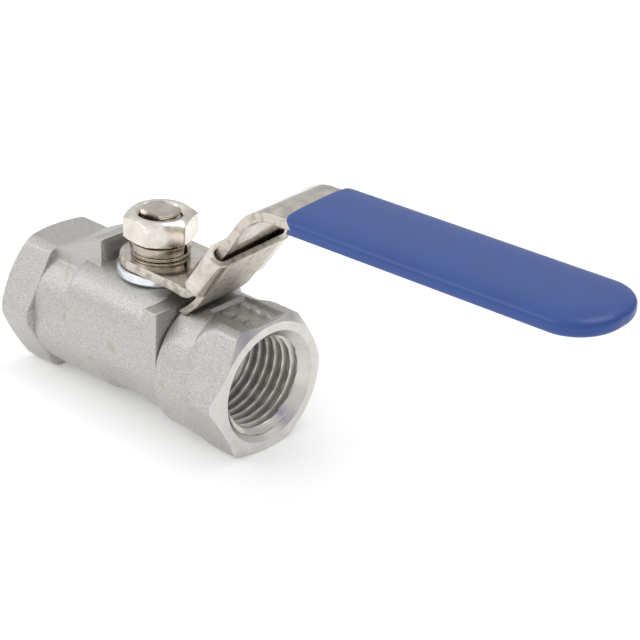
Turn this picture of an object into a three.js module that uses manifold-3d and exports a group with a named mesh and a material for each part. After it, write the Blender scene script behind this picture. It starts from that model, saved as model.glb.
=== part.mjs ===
// One-piece reduced-bore ball valve, G 1/4, with a stamped lever and a vinyl grip sleeve.
// Millimetres, +Z up. The origin is where the stem axis crosses the pipe axis, and the pipe runs along X.
// The valve is shown open: the lever lies over the +X port, and turns 90 degrees about +Z to close.
import * as THREE from 'three';
import { mergeVertices } from 'three/addons/utils/BufferGeometryUtils.js';
import Module from 'manifold-3d';

const wasm = await Module();
wasm.setup();

// ---- driving dimensions ------------------------------------------------------------------
const SEGMENTS = 48; // facets round a large turned surface
const FINE_SEGMENTS = 32; // facets round a small one
const GAP = 0.12; // clearance between pieces that slide on each other
const TOUCH = 0.06; // clearance between pieces that rest on each other
const OVER = 1; // how far a cutting tool runs past the face that it cuts
const SKY = 40; // a height above everything

const NEAR_END = 19.1; // end face over which the lever lies
const FAR_END = -20.05; // the other end face
const HEX_FLATS = 17; // across the flats of both end hexagons
const HEX_CORNER_RADIUS = 9.47; // the turned chamfer leaves this radius at the hexagon's corners
const NEAR_HEX_START = 13.7;
const FAR_HEX_START = -14.6;
const END_CHAMFER = 0.75; // length of the turned chamfer behind each end face
const END_FACE_RADIUS = HEX_FLATS / 2 - 0.15;

const BARREL_RADIUS = 8.4;
const COLLAR_RADIUS = 8.95; // round collar behind the near hexagon
const COLLAR_START = 8.35;
const WAIST_RADIUS = 7.8; // shallow groove under the ball chamber
const WAIST_START = -3.1;
const WAIST_END = 3.7;
const WAIST_HEIGHT = -2.5; // the groove ends at this height

const PLATFORM_TOP = 8.95; // cast platform that carries the stem
const PLATFORM_HALF_WIDTH = 8.5;
const PLATFORM_ROUNDING = 5.2; // corner radius between the platform's top and its sides
const PLATFORM_FOOT = -1; // its sides run down into the barrel here
const RIB_TOP = 8.45; // square rib that stops the lever's tongue when the valve is open
const RIB_START = 5.8;
const RIB_END = 8.1;
const LUG_FACE = -5.9; // wall of the tall lug behind the lever's tail
const LUG_TOP = 12.3;
const LUG_THICKNESS = 1.7;
const LUG_HALF_WIDTH = 4.5;
const LUG_TOP_FALL = 0.35; // the lug's top falls this much towards the far port
const LUG_RAMP_END = FAR_HEX_START + 1.5; // its sloping back meets the hexagon's flat here
const LUG_FOOT = 4; // inside the barrel
const BOSS_RADIUS = 5.75; // round machined seat of the gland ring
const BOSS_TOP = 9;
const TONGUE_SWEEP_RADIUS = 11.35; // the tongue turns in a shallow recess inside this radius
const TONGUE_SWEEP_FLOOR = 7.75;

const PORT_RADIUS = 5.8; // a little over the thread's minor radius
const PORT_DEPTH = 10.6;
const MOUTH_RADIUS = 7.2; // 45 degree countersink of the thread
const BORE_RADIUS = 2.5; // DN 5 waterway
const PANEL = { length: 6.6, width: 6.4, depth: 0.3, centreX: 14.9 }; // sunk cast panel on the near hexagon

const BALL_RADIUS = 4.75;
const CHAMBER_RADIUS = 5.05;
const SEAT_RELIEF = 0.15; // how much the seat's hollow is larger than the ball
const SEAT_BORE_RADIUS = 2.55;
const SEAT_OUTER_RADIUS = 4.6;
const SEAT_INNER = 3.1; // distance of the seat's inner face from the stem axis
const SEAT_OUTER = 5.5; // distance of the seat's outer face from the stem axis
const RETAINER_RADIUS = 5.5; // screwed-in insert that holds the far seat
const RETAINER_START = -10; // its outer end
const RETAINER_END = -6.4;
const RETAINER_KEY_FLATS = 6; // hexagon socket in the insert
const RETAINER_KEY_DEPTH = 2;
const SEAL_RING_RADIUS = 0.4; // round section of the ring between the insert and the body
const SEAL_RING_PITCH_RADIUS = 5.2;

const STEM_FOOT_RADIUS = 3.3; // blow-out proof shoulder inside the body
const STEM_SHOULDER_TOP = 5.1;
const STEM_SHOULDER_SEAT = 5.75; // ledge in the body over the shoulder
const STEM_RADIUS = 2.5;
const STEM_FLATS = 3.6; // across the two flats that drive the lever
const STEM_TOP = 17.1;
const STEM_CHAMFER = 0.4;
const DRIVE_THICKNESS = 1.6; // stem's drive tongue in the ball's slot
const DRIVE_TOP = 4.75;
const SLOT_WIDTH = 2;
const SLOT_FLOOR = 3.15;
const THRUST_WASHER_BOTTOM = 5.2;
const THRUST_WASHER_TOP = 5.65;
const PACKING_RADIUS = 3.9;
const PACKING_FLOOR = 6.6;
const PACKING_RING_HEIGHT = 0.62;
const PACKING_RINGS = 3;
const GLAND_RADIUS = 5.5;
const GLAND_CHAMFER = 0.2;

const SHEET = 1.2; // thickness of the lever's steel sheet
const HUB_TOP = 11.4;
const STRIP_HALF_WIDTH = 5.1;
const TAIL_CENTRE = 0.1; // centre of the hub's round tail
const TIP_ROUNDING = 4.6; // corner radius of the lever's tip
const INCLINE_START = 9.7; // where the hub's and the incline's upper faces would meet
const GRIP_TOP = 25.4; // upper face of the grip plate at its start
const GRIP_START = 19.9; // where the incline's and the grip's upper faces would meet
const INCLINE = Math.atan2(GRIP_TOP - HUB_TOP, GRIP_START - INCLINE_START);
const GRIP_RISE = THREE.MathUtils.degToRad(2);
const GRIP_SKEW = THREE.MathUtils.degToRad(3.3); // beyond the first bend the sheet rises towards +Y
const SKEW_START = 7; // the skew grows between these two places
const SKEW_END = 9.5;
const LEVER_END = 66.5;
const BEND_RADIUS = 1.9;
const STOP_SHEET = 0.8; // thin plate wrapped round the incline, whose tongue meets the body's rib
const STOP_ABOVE = 0.15; // its clearance over the incline
const STOP_BELOW = 0.3; // and under it
const STOP_BEND_CENTRE = 4.75; // axis of its side bends, across the lever
const STOP_SEAM = 0.4; // half the gap between its two flanges
const STOP_START = 1.7; // distances along the incline
const STOP_END = 8.4;
const TONGUE_BEND = -0.4; // distance along the incline where the tongue turns towards the rib
const TONGUE_LEAN = THREE.MathUtils.degToRad(12);
const TONGUE_LENGTH = 5; // below the bend, before it is cut level
const TONGUE_EDGES = [-4.9, 3.9]; // across the lever
const TONGUE_FOOT = 8.05; // height of the tongue's lower edge

const SLEEVE_WALL = 0.75;
const SLEEVE_START = 25.4;
const SLEEVE_END = 67.8;
const SLEEVE_ROUNDING = 1.35;
const SLEEVE_TIP_ROUNDING = 5.35;

const NUT_FLATS = 8;
const NUT_BOTTOM = 13.45;
const NUT_TOP = 16.75;
const NUT_TURN = THREE.MathUtils.degToRad(-4.5);
const NUT_CHAMFER = 0.35;
const WASHER_RADIUS = 3.7;
const FLAT_WASHER_HEIGHT = 0.45;
const SPRING_WASHER_HEIGHT = 1.15;
const SPLIT_WIDTH = 0.5; // the spring washer's split, cut aslant
const SPLIT_SLANT = THREE.MathUtils.degToRad(20);
const SPLIT_AZIMUTH = THREE.MathUtils.degToRad(11);

// ---- solids --------------------------------------------------------------------------------
const toSolid = (geometry) => {
  const bare = geometry.index ? geometry.toNonIndexed() : geometry.clone();
  bare.deleteAttribute('normal');
  bare.deleteAttribute('uv');
  const merged = mergeVertices(bare, 1e-4);
  const corners = merged.index.array;
  const faces = [];
  for (let i = 0; i < corners.length; i += 3) {
    const [a, b, c] = corners.slice(i, i + 3);
    if (a !== b && b !== c && c !== a) faces.push(a, b, c);
  }
  const mesh = new wasm.Mesh({
    numProp: 3,
    vertProperties: new Float32Array(merged.attributes.position.array),
    triVerts: new Uint32Array(faces),
  });
  return new wasm.Manifold(mesh);
};

const toGeometry = (solid) => {
  const mesh = solid.getMesh();
  const geometry = new THREE.BufferGeometry();
  geometry.setAttribute('position', new THREE.BufferAttribute(mesh.vertProperties, 3));
  geometry.setIndex(new THREE.BufferAttribute(mesh.triVerts, 1));
  return geometry;
};

const box = (x0, x1, y0, y1, z0, z1) => {
  const geometry = new THREE.BoxGeometry(x1 - x0, y1 - y0, z1 - z0);
  return toSolid(geometry.translate((x0 + x1) / 2, (y0 + y1) / 2, (z0 + z1) / 2));
};

// A profile of [radius, height] points turned about +Z.
const turned = (profile, segments = SEGMENTS) => {
  const points = profile.map(([radius, height]) => new THREE.Vector2(radius, height));
  return toSolid(new THREE.LatheGeometry(points, segments).rotateX(Math.PI / 2));
};

// The same about +X: the heights run along the pipe.
const turnedOnPipe = (profile, segments = SEGMENTS) => {
  const points = profile.map(([radius, height]) => new THREE.Vector2(radius, height));
  const geometry = new THREE.LatheGeometry(points, segments);
  return toSolid(geometry.rotateX(Math.PI / 2).rotateY(Math.PI / 2));
};

const disc = (radius, z0, z1, segments) => turned([[0, z0], [radius, z0], [radius, z1], [0, z1]], segments);

const ring = (inner, outer, z0, z1, segments) =>
  turned([[inner, z0], [outer, z0], [outer, z1], [inner, z1], [inner, z0]], segments);

const pipeDisc = (radius, x0, x1, segments) =>
  turnedOnPipe([[0, x0], [radius, x0], [radius, x1], [0, x1]], segments);

// An outline in the Y-Z plane carried along X.
const alongPipe = (outline, x0, x1) => {
  const shape = new THREE.Shape(outline.map(([y, z]) => new THREE.Vector2(y, z)));
  const geometry = new THREE.ExtrudeGeometry(shape, { depth: x1 - x0, bevelEnabled: false });
  return toSolid(geometry.rotateY(Math.PI / 2).rotateX(Math.PI / 2).translate(x0, 0, 0));
};

// An outline in the X-Z plane carried along Y, centred on the X-Z plane.
const acrossPipe = (outline, halfWidth) => {
  const shape = new THREE.Shape(outline.map(([x, z]) => new THREE.Vector2(x, z)));
  const geometry = new THREE.ExtrudeGeometry(shape, { depth: 2 * halfWidth, bevelEnabled: false });
  return toSolid(geometry.rotateX(Math.PI / 2).translate(0, halfWidth, 0));
};

// An outline in the X-Y plane carried upwards.
const upwards = (shape, z0, z1, curveSegments = 12) => {
  const geometry = new THREE.ExtrudeGeometry(shape, { depth: z1 - z0, bevelEnabled: false, curveSegments });
  return toSolid(geometry.translate(0, 0, z0));
};

const hexagon = (flats, turn) =>
  Array.from({ length: 6 }, (_, i) => {
    const angle = turn + (i * Math.PI) / 3;
    const radius = flats / Math.sqrt(3);
    return [radius * Math.cos(angle), radius * Math.sin(angle)];
  });

const shapeOf = (points) => new THREE.Shape(points.map(([u, v]) => new THREE.Vector2(u, v)));

// ---- body ------------------------------------------------------------------------------------
const endHexagon = (start, end) => {
  const sign = Math.sign(end);
  const profile = [[0, start], [HEX_CORNER_RADIUS, start], [HEX_CORNER_RADIUS, end - sign * END_CHAMFER],
    [END_FACE_RADIUS, end], [0, end]];
  const envelope = turnedOnPipe(sign > 0 ? profile : profile.reverse());
  return alongPipe(hexagon(HEX_FLATS, 0), Math.min(start, end), Math.max(start, end)).intersect(envelope);
};

const roundedPlatform = () => {
  const w = PLATFORM_HALF_WIDTH;
  const r = PLATFORM_ROUNDING;
  const shape = new THREE.Shape();
  shape.moveTo(-w, PLATFORM_FOOT);
  shape.lineTo(w, PLATFORM_FOOT);
  shape.lineTo(w, PLATFORM_TOP - r);
  shape.absarc(w - r, PLATFORM_TOP - r, r, 0, Math.PI / 2);
  shape.absarc(-w + r, PLATFORM_TOP - r, r, Math.PI / 2, Math.PI);
  const outline = shape.getPoints(8).map((point) => [point.x, point.y]);
  return alongPipe(outline.slice(0, -1), LUG_FACE, RIB_START);
};

// The rib is square on the -Y side, where the tongue rests on it, and elsewhere round about the stem.
const stopRib = () => {
  const w = PLATFORM_HALF_WIDTH;
  const square = box(RIB_START - OVER, RIB_END, -w, 0, 0, RIB_TOP);
  const round = disc(RIB_END, 0, RIB_TOP).intersect(box(0, RIB_END + OVER, 0, w, 0, RIB_TOP));
  return square.add(round);
};

const tallLug = () => {
  const back = LUG_FACE - LUG_THICKNESS;
  const top = HEX_FLATS / 2;
  const outline = [[LUG_FACE, LUG_FOOT], [LUG_FACE, LUG_TOP], [back, LUG_TOP - LUG_TOP_FALL],
    [LUG_RAMP_END, top], [FAR_HEX_START - OVER, top], [FAR_HEX_START - OVER, LUG_FOOT]];
  return acrossPipe(outline, LUG_HALF_WIDTH);
};

const tongueRecess = () => {
  const swept = ring(RIB_END, TONGUE_SWEEP_RADIUS, TONGUE_SWEEP_FLOOR, BOSS_TOP + OVER);
  const span = box(0, TONGUE_SWEEP_RADIUS + OVER, -STRIP_HALF_WIDTH - OVER, TONGUE_SWEEP_RADIUS + OVER,
    TONGUE_SWEEP_FLOOR - OVER, BOSS_TOP + 2 * OVER);
  return swept.intersect(span);
};

// The countersinks run on past the end faces by OVER, at the same slope.
const bodyPassages = () => {
  const sink = MOUTH_RADIUS - PORT_RADIUS;
  const wide = MOUTH_RADIUS + OVER;
  const nearPort = turnedOnPipe([[0, NEAR_END - PORT_DEPTH], [PORT_RADIUS, NEAR_END - PORT_DEPTH],
    [PORT_RADIUS, NEAR_END - sink], [wide, NEAR_END + OVER], [0, NEAR_END + OVER]]);
  const farPort = turnedOnPipe([[0, FAR_END - OVER], [wide, FAR_END - OVER], [PORT_RADIUS, FAR_END + sink],
    [PORT_RADIUS, -SEAT_OUTER], [0, -SEAT_OUTER]]);
  const chamber = pipeDisc(CHAMBER_RADIUS, -SEAT_OUTER - OVER, SEAT_OUTER);
  const bore = pipeDisc(BORE_RADIUS, 0, NEAR_END, FINE_SEGMENTS);
  return nearPort.add(farPort).add(chamber).add(bore);
};

const stemPassage = () =>
  turned([[0, 0], [STEM_FOOT_RADIUS + GAP, 0], [STEM_FOOT_RADIUS + GAP, STEM_SHOULDER_SEAT],
    [STEM_RADIUS + GAP, STEM_SHOULDER_SEAT], [STEM_RADIUS + GAP, PACKING_FLOOR],
    [PACKING_RADIUS, PACKING_FLOOR], [PACKING_RADIUS, BOSS_TOP + OVER], [0, BOSS_TOP + OVER]], FINE_SEGMENTS);

// The groove is only under the ball chamber; higher up the platform fills it.
const waistGroove = () => {
  const outside = BARREL_RADIUS + OVER;
  const groove = turnedOnPipe([[WAIST_RADIUS, WAIST_START], [outside, WAIST_START - OVER],
    [outside, WAIST_END + OVER], [WAIST_RADIUS, WAIST_END], [WAIST_RADIUS, WAIST_START]]);
  return groove.intersect(box(WAIST_START - 2 * OVER, WAIST_END + 2 * OVER, -outside, outside,
    -outside, WAIST_HEIGHT));
};

const body = () => {
  const barrel = pipeDisc(BARREL_RADIUS, FAR_END + OVER, NEAR_END - OVER);
  const levelled = box(COLLAR_START, NEAR_HEX_START + OVER, -COLLAR_RADIUS, COLLAR_RADIUS,
    -HEX_FLATS / 2, HEX_FLATS / 2);
  const collar = pipeDisc(COLLAR_RADIUS, COLLAR_START, NEAR_HEX_START + OVER).intersect(levelled);
  const panel = box(PANEL.centreX - PANEL.length / 2, PANEL.centreX + PANEL.length / 2, -PANEL.width / 2,
    PANEL.width / 2, HEX_FLATS / 2 - PANEL.depth, HEX_FLATS / 2 + OVER);
  return barrel
    .add(endHexagon(NEAR_HEX_START, NEAR_END))
    .add(endHexagon(FAR_HEX_START, FAR_END))
    .add(collar)
    .subtract(waistGroove())
    .add(roundedPlatform())
    .add(stopRib())
    .subtract(tongueRecess())
    .add(tallLug())
    .add(disc(BOSS_RADIUS, STEM_SHOULDER_TOP, BOSS_TOP))
    .subtract(bodyPassages())
    .subtract(stemPassage())
    .subtract(panel);
};

// ---- inside the body -----------------------------------------------------------------------
const ballSphere = (radius) => {
  const steps = FINE_SEGMENTS / 2;
  const half = new THREE.EllipseCurve(0, 0, radius, radius, -Math.PI / 2, Math.PI / 2).getPoints(steps);
  const profile = half.map((point, i) => [i % steps === 0 ? 0 : point.x, point.y]);
  return turned(profile, FINE_SEGMENTS);
};

const ball = () => {
  const bore = pipeDisc(BORE_RADIUS, -BALL_RADIUS - OVER, BALL_RADIUS + OVER, FINE_SEGMENTS);
  const slot = box(-SLOT_WIDTH / 2, SLOT_WIDTH / 2, -BALL_RADIUS, BALL_RADIUS, SLOT_FLOOR, BALL_RADIUS + OVER);
  return ballSphere(BALL_RADIUS).subtract(bore).subtract(slot);
};

// A seat has the ball's radius, plus the gap, turned into its inner edge.
const seat = (sign) => {
  const outerFace = SEAT_OUTER - GAP;
  const from = Math.min(sign * SEAT_INNER, sign * outerFace);
  const to = Math.max(sign * SEAT_INNER, sign * outerFace);
  const blank = turnedOnPipe([[SEAT_BORE_RADIUS, from], [SEAT_OUTER_RADIUS, from], [SEAT_OUTER_RADIUS, to],
    [SEAT_BORE_RADIUS, to], [SEAT_BORE_RADIUS, from]]);
  const stemSide = disc(STEM_FOOT_RADIUS + 3 * GAP, BORE_RADIUS, BALL_RADIUS + OVER);
  return blank.subtract(ballSphere(BALL_RADIUS + SEAT_RELIEF)).subtract(stemSide);
};

const sealRing = () => {
  const steps = 12;
  const middle = (RETAINER_END - SEAT_OUTER) / 2;
  const points = new THREE.EllipseCurve(SEAL_RING_PITCH_RADIUS, middle, SEAL_RING_RADIUS, SEAL_RING_RADIUS)
    .getPoints(steps)
    .slice(0, steps);
  return turnedOnPipe([...points, points[0]].map((point) => [point.x, point.y]));
};

const seatRetainer = () => {
  const blank = turnedOnPipe([[BORE_RADIUS, RETAINER_START], [RETAINER_RADIUS, RETAINER_START],
    [RETAINER_RADIUS, RETAINER_END], [BORE_RADIUS, RETAINER_END], [BORE_RADIUS, RETAINER_START]]);
  const socket = alongPipe(hexagon(RETAINER_KEY_FLATS, 0), RETAINER_START - OVER,
    RETAINER_START + RETAINER_KEY_DEPTH);
  return blank.subtract(socket);
};

const thrustWasher = () =>
  ring(STEM_RADIUS + GAP, STEM_FOOT_RADIUS, THRUST_WASHER_BOTTOM, THRUST_WASHER_TOP, FINE_SEGMENTS);

const packingRing = (index) => {
  const floor = PACKING_FLOOR + TOUCH + index * (PACKING_RING_HEIGHT + TOUCH);
  return ring(STEM_RADIUS + TOUCH, PACKING_RADIUS - TOUCH, floor, floor + PACKING_RING_HEIGHT, FINE_SEGMENTS);
};

// The gland ring's nose presses on the packing; its flange stands between the boss and the lever's hub.
const glandRing = () => {
  const inner = STEM_RADIUS + GAP;
  const neck = PACKING_RADIUS - GAP;
  const nose = PACKING_FLOOR + PACKING_RINGS * (PACKING_RING_HEIGHT + TOUCH) + TOUCH;
  const bottom = BOSS_TOP + TOUCH;
  const top = HUB_TOP - SHEET - TOUCH;
  return turned([[inner, nose], [neck, nose], [neck, bottom], [GLAND_RADIUS, bottom],
    [GLAND_RADIUS, top - GLAND_CHAMFER], [GLAND_RADIUS - GLAND_CHAMFER, top], [inner, top], [inner, nose]]);
};

// ---- stem and its fasteners ----------------------------------------------------------------
// The drive tongue lies across the pipe below DRIVE_TOP, and the shaft has two flats above the gland ring.
const stem = () => {
  const bottom = SLOT_FLOOR + GAP;
  const wide = STEM_FOOT_RADIUS + OVER;
  const flatsStart = HUB_TOP - SHEET - TOUCH;
  const shaft = turned([[0, bottom], [STEM_FOOT_RADIUS, bottom], [STEM_FOOT_RADIUS, STEM_SHOULDER_TOP],
    [STEM_RADIUS, STEM_SHOULDER_TOP], [STEM_RADIUS, STEM_TOP - STEM_CHAMFER],
    [STEM_RADIUS - STEM_CHAMFER, STEM_TOP], [0, STEM_TOP]], FINE_SEGMENTS);
  const drive = box(-DRIVE_THICKNESS / 2, DRIVE_THICKNESS / 2, -wide, wide, 0, DRIVE_TOP);
  const round = disc(wide, DRIVE_TOP, flatsStart);
  const flats = box(-wide, wide, -STEM_FLATS / 2, STEM_FLATS / 2, flatsStart, STEM_TOP + OVER);
  return shaft.intersect(drive.add(round).add(flats));
};

const stemNut = () => {
  const mid = NUT_FLATS / 2;
  const corner = mid / Math.cos(Math.PI / 6);
  const bore = STEM_RADIUS + GAP;
  const outline = hexagon(NUT_FLATS, NUT_TURN);
  const envelope = turned([[0, NUT_BOTTOM], [mid, NUT_BOTTOM], [corner, NUT_BOTTOM + NUT_CHAMFER],
    [corner, NUT_TOP - NUT_CHAMFER], [mid - TOUCH, NUT_TOP], [0, NUT_TOP]]);
  const hole = turned([[0, NUT_BOTTOM - OVER], [bore, NUT_BOTTOM - OVER], [bore, NUT_TOP - NUT_CHAMFER],
    [bore + NUT_CHAMFER + TOUCH, NUT_TOP + TOUCH], [0, NUT_TOP + TOUCH]], FINE_SEGMENTS);
  return upwards(shapeOf(outline), NUT_BOTTOM, NUT_TOP).intersect(envelope).subtract(hole);
};

const flatWasher = () => {
  const bottom = HUB_TOP + TOUCH;
  return ring(STEM_RADIUS + GAP, WASHER_RADIUS, bottom, bottom + FLAT_WASHER_HEIGHT, FINE_SEGMENTS);
};

// The split opens on the +X side.
const springWasher = () => {
  const bottom = HUB_TOP + FLAT_WASHER_HEIGHT + 2 * TOUCH;
  const top = bottom + SPRING_WASHER_HEIGHT;
  const whole = ring(STEM_RADIUS + GAP, WASHER_RADIUS, bottom, top, FINE_SEGMENTS);
  const cut = new THREE.BoxGeometry(WASHER_RADIUS, SPLIT_WIDTH, 3 * SPRING_WASHER_HEIGHT)
    .rotateX(SPLIT_SLANT)
    .translate(WASHER_RADIUS, 0, (bottom + top) / 2)
    .rotateZ(SPLIT_AZIMUTH);
  return whole.subtract(toSolid(cut));
};

// ---- lever ---------------------------------------------------------------------------------
// The strip's side view: hub, incline and grip joined by round bends, as a band of constant thickness.
const stripCentreLine = (margin) => {
  const corners = [
    new THREE.Vector2(TAIL_CENTRE - STRIP_HALF_WIDTH, HUB_TOP),
    new THREE.Vector2(INCLINE_START, HUB_TOP),
    new THREE.Vector2(GRIP_START, GRIP_TOP),
    new THREE.Vector2(LEVER_END + margin, GRIP_TOP + (LEVER_END - GRIP_START) * Math.tan(GRIP_RISE)),
  ];
  const line = new THREE.Path();
  line.moveTo(corners[0].x, corners[0].y);
  for (let i = 1; i < 3; i += 1) {
    const before = corners[i - 1].clone().sub(corners[i]).normalize();
    const after = corners[i + 1].clone().sub(corners[i]).normalize();
    const reach = BEND_RADIUS / Math.tan(before.angleTo(after) / 2);
    const start = corners[i].clone().addScaledVector(before, reach);
    const end = corners[i].clone().addScaledVector(after, reach);
    line.lineTo(start.x, start.y);
    line.quadraticCurveTo(corners[i].x, corners[i].y, end.x, end.y);
  }
  line.lineTo(corners[3].x, corners[3].y);
  return line.getPoints(6);
};

const strip = (margin = 0) => {
  const upper = stripCentreLine(margin);
  const sheet = SHEET + 2 * margin;
  const normals = upper.map((_, i) => {
    const before = upper[Math.max(i - 1, 0)];
    const after = upper[Math.min(i + 1, upper.length - 1)];
    const along = after.clone().sub(before).normalize();
    return new THREE.Vector2(-along.y, along.x);
  });
  const top = upper.map((point, i) => point.clone().addScaledVector(normals[i], margin));
  const bottom = top.map((point, i) => point.clone().addScaledVector(normals[i], -sheet));
  const outline = [...bottom, ...top.reverse()].map((point) => [point.x, point.y]);
  return acrossPipe(outline, STRIP_HALF_WIDTH + OVER);
};

// The lever's plan: straight sides, a round tail behind the stem and a round tip.
const leverPlan = (margin = 0) => {
  const w = STRIP_HALF_WIDTH + margin;
  const tip = LEVER_END + margin;
  const corner = TIP_ROUNDING + margin;
  const plan = new THREE.Shape();
  plan.moveTo(TAIL_CENTRE, -w);
  plan.lineTo(tip - corner, -w);
  plan.absarc(tip - corner, -w + corner, corner, -Math.PI / 2, 0);
  plan.absarc(tip - corner, w - corner, corner, 0, Math.PI / 2);
  plan.lineTo(TAIL_CENTRE, w);
  plan.absarc(TAIL_CENTRE, 0, w, Math.PI / 2, (3 * Math.PI) / 2);
  return plan;
};

// Moves a piece drawn with its X along the incline and Z off its upper face onto the incline.
const onIncline = (geometry) =>
  toSolid(geometry.rotateY(-INCLINE).translate(INCLINE_START, 0, HUB_TOP));

// A C-shaped section round the incline, whose flanges nearly meet over the middle of the strip.
const stopWrap = () => {
  const inner = (STOP_ABOVE + SHEET + STOP_BELOW) / 2;
  const outer = inner + STOP_SHEET;
  const middle = STOP_ABOVE - inner;
  const side = STOP_BEND_CENTRE;
  const section = new THREE.Shape();
  section.moveTo(-STOP_SEAM, middle + outer);
  section.lineTo(-side, middle + outer);
  section.absarc(-side, middle, outer, Math.PI / 2, (3 * Math.PI) / 2);
  section.lineTo(side, middle - outer);
  section.absarc(side, middle, outer, -Math.PI / 2, Math.PI / 2);
  section.lineTo(STOP_SEAM, middle + outer);
  section.lineTo(STOP_SEAM, middle + inner);
  section.lineTo(side, middle + inner);
  section.absarc(side, middle, inner, Math.PI / 2, -Math.PI / 2, true);
  section.lineTo(-side, middle - inner);
  section.absarc(-side, middle, inner, (3 * Math.PI) / 2, Math.PI / 2, true);
  section.lineTo(-STOP_SEAM, middle + inner);
  const length = STOP_END - STOP_START;
  const geometry = new THREE.ExtrudeGeometry(section, { depth: length, bevelEnabled: false, curveSegments: 10 });
  return onIncline(geometry.rotateY(Math.PI / 2).rotateX(Math.PI / 2).translate(STOP_START, 0, 0));
};

// The wrapped plate's lower layer runs on below the hub, leans towards the rib and is cut level.
const stopTongue = () => {
  const [side, otherSide] = TONGUE_EDGES;
  const width = otherSide - side;
  const across = (side + otherSide) / 2;
  const depth = SHEET + STOP_BELOW + STOP_SHEET / 2;
  const reach = STOP_START + OVER - TONGUE_BEND;
  const upper = new THREE.BoxGeometry(reach, width, STOP_SHEET).translate(TONGUE_BEND + reach / 2, across, -depth);
  const knee = new THREE.CylinderGeometry(STOP_SHEET / 2, STOP_SHEET / 2, width, 16)
    .translate(TONGUE_BEND, across, -depth);
  const lower = new THREE.BoxGeometry(TONGUE_LENGTH, width, STOP_SHEET)
    .translate(-TONGUE_LENGTH / 2, across, 0)
    .rotateY(TONGUE_LEAN)
    .translate(TONGUE_BEND, 0, -depth);
  return onIncline(upper).add(onIncline(knee)).add(onIncline(lower))
    .intersect(box(0, GRIP_START, side, otherSide, TONGUE_FOOT, GRIP_TOP));
};

// Beyond the first bend the sheet is sheared upwards on its +Y side.
const skewed = (solid) => {
  const geometry = toGeometry(solid);
  const place = geometry.attributes.position;
  for (let i = 0; i < place.count; i += 1) {
    const share = THREE.MathUtils.smoothstep(place.getX(i), SKEW_START, SKEW_END);
    place.setZ(i, place.getZ(i) + share * place.getY(i) * Math.tan(GRIP_SKEW));
  }
  return toSolid(geometry);
};

const lever = () => {
  const flatLever = strip().intersect(upwards(leverPlan(), 0, SKY));
  const flats = STEM_FLATS / 2 + GAP;
  const hole = disc(STEM_RADIUS + GAP, 0, STEM_TOP, FINE_SEGMENTS)
    .intersect(box(-GLAND_RADIUS, GLAND_RADIUS, -flats, flats, 0, STEM_TOP));
  return skewed(flatLever.subtract(hole));
};

const stopPlate = () => skewed(stopWrap().add(stopTongue()));

const sleeve = () => {
  const w = STRIP_HALF_WIDTH + SLEEVE_WALL;
  const length = SLEEVE_END - SLEEVE_START;
  const height = SHEET + 2 * SLEEVE_WALL;
  const r = SLEEVE_ROUNDING;
  const corner = SLEEVE_TIP_ROUNDING;
  const plan = new THREE.Shape();
  plan.moveTo(0, -w + r);
  plan.lineTo(length - corner, -w + r);
  plan.absarc(length - corner, -w + corner, corner - r, -Math.PI / 2, 0);
  plan.absarc(length - corner, w - corner, corner - r, 0, Math.PI / 2);
  plan.lineTo(0, w - r);
  const geometry = new THREE.ExtrudeGeometry(plan, {
    depth: height - 2 * r,
    bevelEnabled: true,
    bevelThickness: r,
    bevelSize: r,
    bevelSegments: 4,
    curveSegments: 10,
  });
  const startTop = GRIP_TOP + (SLEEVE_START - GRIP_START) * Math.tan(GRIP_RISE);
  const outside = toSolid(geometry.translate(0, 0, r - height + SLEEVE_WALL).rotateY(-GRIP_RISE)
    .translate(SLEEVE_START, 0, startTop));
  const hollow = strip(TOUCH).intersect(upwards(leverPlan(TOUCH), 0, SKY));
  return skewed(outside.subtract(box(0, SLEEVE_START, -2 * w, 2 * w, 0, SKY)).subtract(hollow));
};

// ---- materials and scene ---------------------------------------------------------------------
const material = (color, roughness, metalness) => new THREE.MeshStandardMaterial({ color, roughness, metalness });

const castSteel = material('#c9c7c3', 0.5, 0.85);
const turnedSteel = material('#d6d4d0', 0.25, 1);
const sheetSteel = material('#c4bfb8', 0.35, 1);
const blueVinyl = material('#3f5aa0', 0.35, 0);
const whitePtfe = material('#eceae4', 0.5, 0);
const greyPtfe = material('#5a5b5d', 0.6, 0);

const valve = new THREE.Group();

const addPiece = (name, solid, finish) => {
  const mesh = new THREE.Mesh(toGeometry(solid), finish);
  mesh.name = name;
  valve.add(mesh);
};

addPiece('body', body(), castSteel);
addPiece('seat_retainer', seatRetainer(), turnedSteel);
addPiece('retainer_seal', sealRing(), whitePtfe);
addPiece('seat_near', seat(1), whitePtfe);
addPiece('seat_far', seat(-1), whitePtfe);
addPiece('ball', ball(), turnedSteel);
addPiece('stem', stem(), turnedSteel);
addPiece('thrust_washer', thrustWasher(), greyPtfe);
for (let i = 0; i < PACKING_RINGS; i += 1) {
  addPiece(`packing_ring_${i + 1}`, packingRing(i), whitePtfe);
}
addPiece('gland_ring', glandRing(), turnedSteel);
addPiece('lever', lever(), sheetSteel);
addPiece('stop_plate', stopPlate(), sheetSteel);
addPiece('flat_washer', flatWasher(), sheetSteel);
addPiece('spring_washer', springWasher(), turnedSteel);
addPiece('stem_nut', stemNut(), turnedSteel);
addPiece('lever_sleeve', sleeve(), blueVinyl);

export default valve;
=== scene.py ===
import math

import bmesh
import bpy
import numpy as np
from mathutils import Matrix, Vector


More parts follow.
